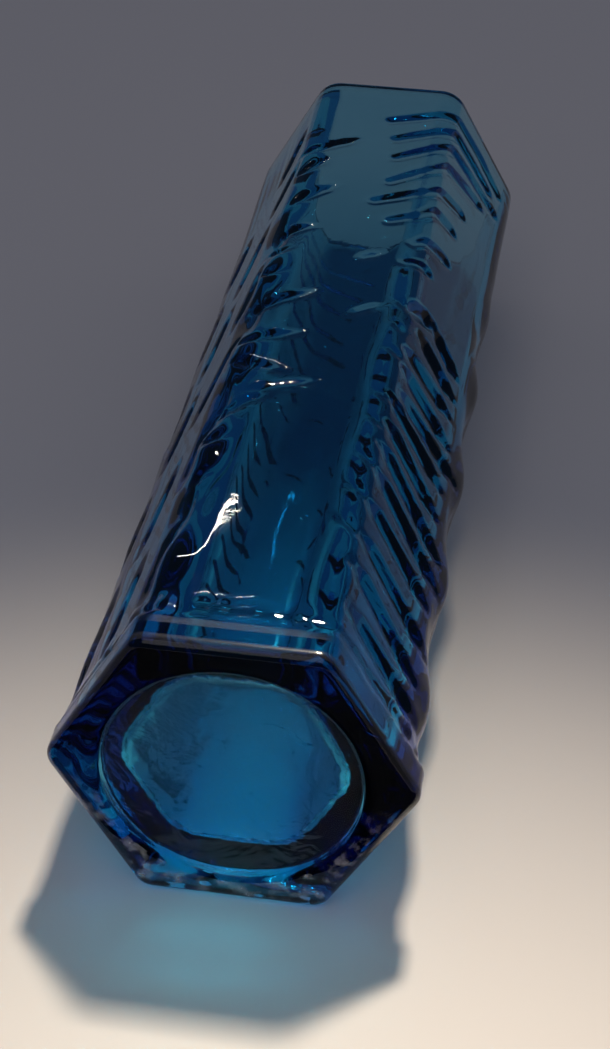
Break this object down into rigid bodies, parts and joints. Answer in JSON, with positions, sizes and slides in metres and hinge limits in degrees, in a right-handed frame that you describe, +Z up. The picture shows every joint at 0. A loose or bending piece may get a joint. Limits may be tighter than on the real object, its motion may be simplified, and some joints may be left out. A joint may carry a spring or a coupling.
{
  "type": "glass vase",
  "caption": "Tall hexagonal vase of clear blue glass with rib-textured walls, plain foot and rim bands, an open mouth and a flat foot ring round a shallow recess.",
  "frame": {"origin": "middle of the foot, on the surface that the vase stands on", "axes": "+Z up the vase towards its mouth, corners of the hexagon towards +X and -X, flats facing +Y and -Y"},
  "size_m": [0.0568, 0.05, 0.2],
  "materials": {
    "blue_glass": "fire-polished clear glass, peacock blue all through"
  },
  "bodies": {
    "root": {"vase_body": "blue_glass"}
  },
  "joints": []
}
